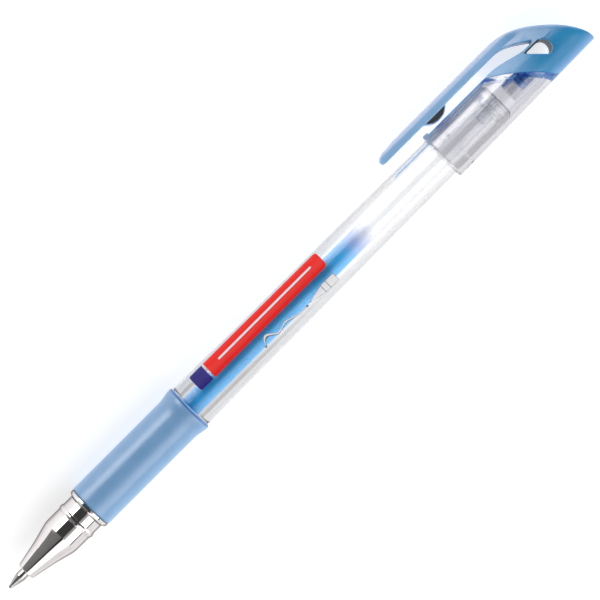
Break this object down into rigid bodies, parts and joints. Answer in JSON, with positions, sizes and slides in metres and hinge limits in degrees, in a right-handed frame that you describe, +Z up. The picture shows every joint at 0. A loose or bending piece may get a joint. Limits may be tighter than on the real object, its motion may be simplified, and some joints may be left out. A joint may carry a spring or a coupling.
{
  "type": "gel ink pen",
  "caption": "Capped gel ink pen with a metal nose, rubber grip, clear barrel and refill, and its clip cap posted on the rear end.",
  "frame": {"origin": "front of the writing ball, on the pen's axis", "axes": "+X along the pen's axis from the writing ball towards the cap, +Z up with the pen lying on a table, +Y to the side that the clip is on. The pen rests on its cap and on the clip's lower edge, so the clip points 22.9 degrees below +Y"},
  "size_m": [0.1605, 0.0145, 0.0111],
  "materials": {
    "ball_metal": "ground and polished",
    "point_metal": "turned nickel silver",
    "chrome": "bright chrome plate",
    "white_plastic": "satin moulded",
    "refill_clear": "clear extruded tube",
    "ink": "wet gel",
    "grease": "clear gel",
    "grip_rubber": "soft satin",
    "seal_rubber": "soft matte",
    "barrel_clear": "clear polished moulding",
    "cap_clear": "clear polished moulding",
    "cap_seal": "soft matte",
    "cap_blue": "glossy moulding"
  },
  "bodies": {
    "barrel": {"barrel": "barrel_clear", "barrel_end_plug": "barrel_clear", "grip_sleeve": "grip_rubber"},
    "refill": {"writing_point": "point_metal", "point_holder": "white_plastic", "refill_tube": "refill_clear", "ink_column": "ink", "follower_grease": "grease", "refill_tail_plug": "white_plastic"},
    "nose": {"nose_cone": "chrome", "nose_sealing_ring": "seal_rubber"},
    "ball": {"ball": "ball_metal"},
    "cap": {"cap_body": "cap_clear", "cap_tip_seal": "cap_seal", "cap_crown": "cap_blue"},
    "clip": {"clip": "cap_blue"}
  },
  "joints": [
    {"name": "cap_slide", "type": "slide", "parent": "barrel", "child": "cap", "axis": [1, 0, 0], "range_m": [0, 0.02]},
    {"name": "clip_flex", "type": "hinge", "parent": "cap", "child": "clip", "pos_m": [0.143, 0.00835, -0.00352], "axis": [0, -0.3883, -0.9215], "range_deg": [0, 6], "stiffness_Nm_per_rad": 1},
    {"name": "refill_advance", "type": "slide", "parent": "barrel", "child": "refill", "axis": [-1, 0, 0], "range_m": [0, 0.0085]},
    {"name": "nose_unscrew", "type": "hinge", "parent": "refill", "child": "nose", "pos_m": [0.022, 0, 0], "axis": [-1, 0, 0], "range_deg": [0, 3061]},
    {"name": "ball_roll", "type": "hinge", "parent": "refill", "child": "ball", "pos_m": [0.00035, 0, 0], "axis": [0, 1, 0], "continuous": true}
  ],
  "couplings": [
    {"joint": "nose_unscrew", "follows": "refill_advance", "rad_per_m": 6283.2}
  ]
}
